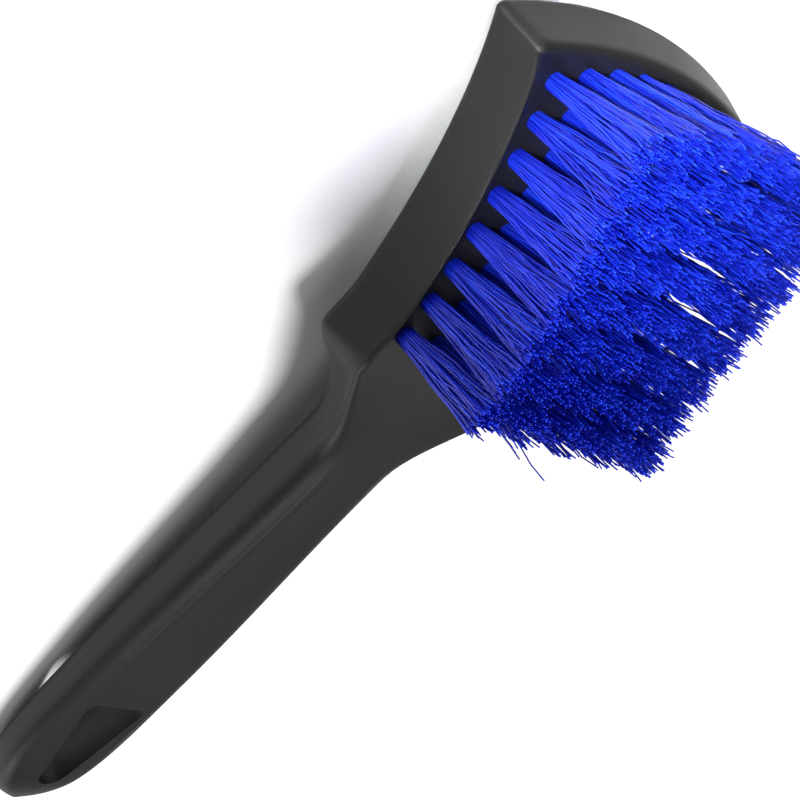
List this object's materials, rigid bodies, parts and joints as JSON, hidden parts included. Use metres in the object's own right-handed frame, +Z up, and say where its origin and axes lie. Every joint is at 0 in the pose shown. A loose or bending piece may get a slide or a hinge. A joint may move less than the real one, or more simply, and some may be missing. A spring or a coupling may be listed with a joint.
{
  "type": "wheel brush",
  "caption": "Short-handled brush for washing wheels: a flared head with fanned tufts of filament, a waisted neck and a flat grip with a hang hole.",
  "frame": {"origin": "on the surface under the middle of the brush, which lies on its back with the bristles up", "axes": "+X from the head to the end of the handle, +Y across the head, +Z up, away from the surface"},
  "size_m": [0.2574, 0.0918, 0.0625],
  "materials": {
    "body": "fine matte grain, black polypropylene",
    "filament": "satin extruded filament, bright blue",
    "staple": "drawn wire"
  },
  "bodies": {
    "root": {"body": "body", "staples": "staple", "tuft_1_1": "filament", "tuft_1_2": "filament", "tuft_1_3": "filament", "tuft_1_4": "filament", "tuft_1_5": "filament", "tuft_1_6": "filament", "tuft_1_7": "filament", "tuft_1_8": "filament", "tuft_2_1": "filament", "tuft_2_2": "filament", "tuft_2_3": "filament", "tuft_2_4": "filament", "tuft_2_5": "filament", "tuft_2_6": "filament", "tuft_2_7": "filament", "tuft_3_1": "filament", "tuft_3_2": "filament", "tuft_3_3": "filament", "tuft_3_4": "filament", "tuft_3_5": "filament", "tuft_3_6": "filament", "tuft_4_1": "filament", "tuft_4_2": "filament", "tuft_4_3": "filament", "tuft_4_4": "filament", "tuft_4_5": "filament", "tuft_4_6": "filament", "tuft_5_1": "filament", "tuft_5_2": "filament", "tuft_5_3": "filament", "tuft_5_4": "filament", "tuft_5_5": "filament", "tuft_5_6": "filament", "tuft_6_1": "filament", "tuft_6_2": "filament", "tuft_6_3": "filament", "tuft_6_4": "filament", "tuft_6_5": "filament", "tuft_7_1": "filament", "tuft_7_2": "filament", "tuft_7_3": "filament", "tuft_7_4": "filament", "tuft_7_5": "filament", "tuft_8_1": "filament", "tuft_8_2": "filament", "tuft_8_3": "filament", "tuft_8_4": "filament", "tuft_8_5": "filament"}
  },
  "joints": []
}
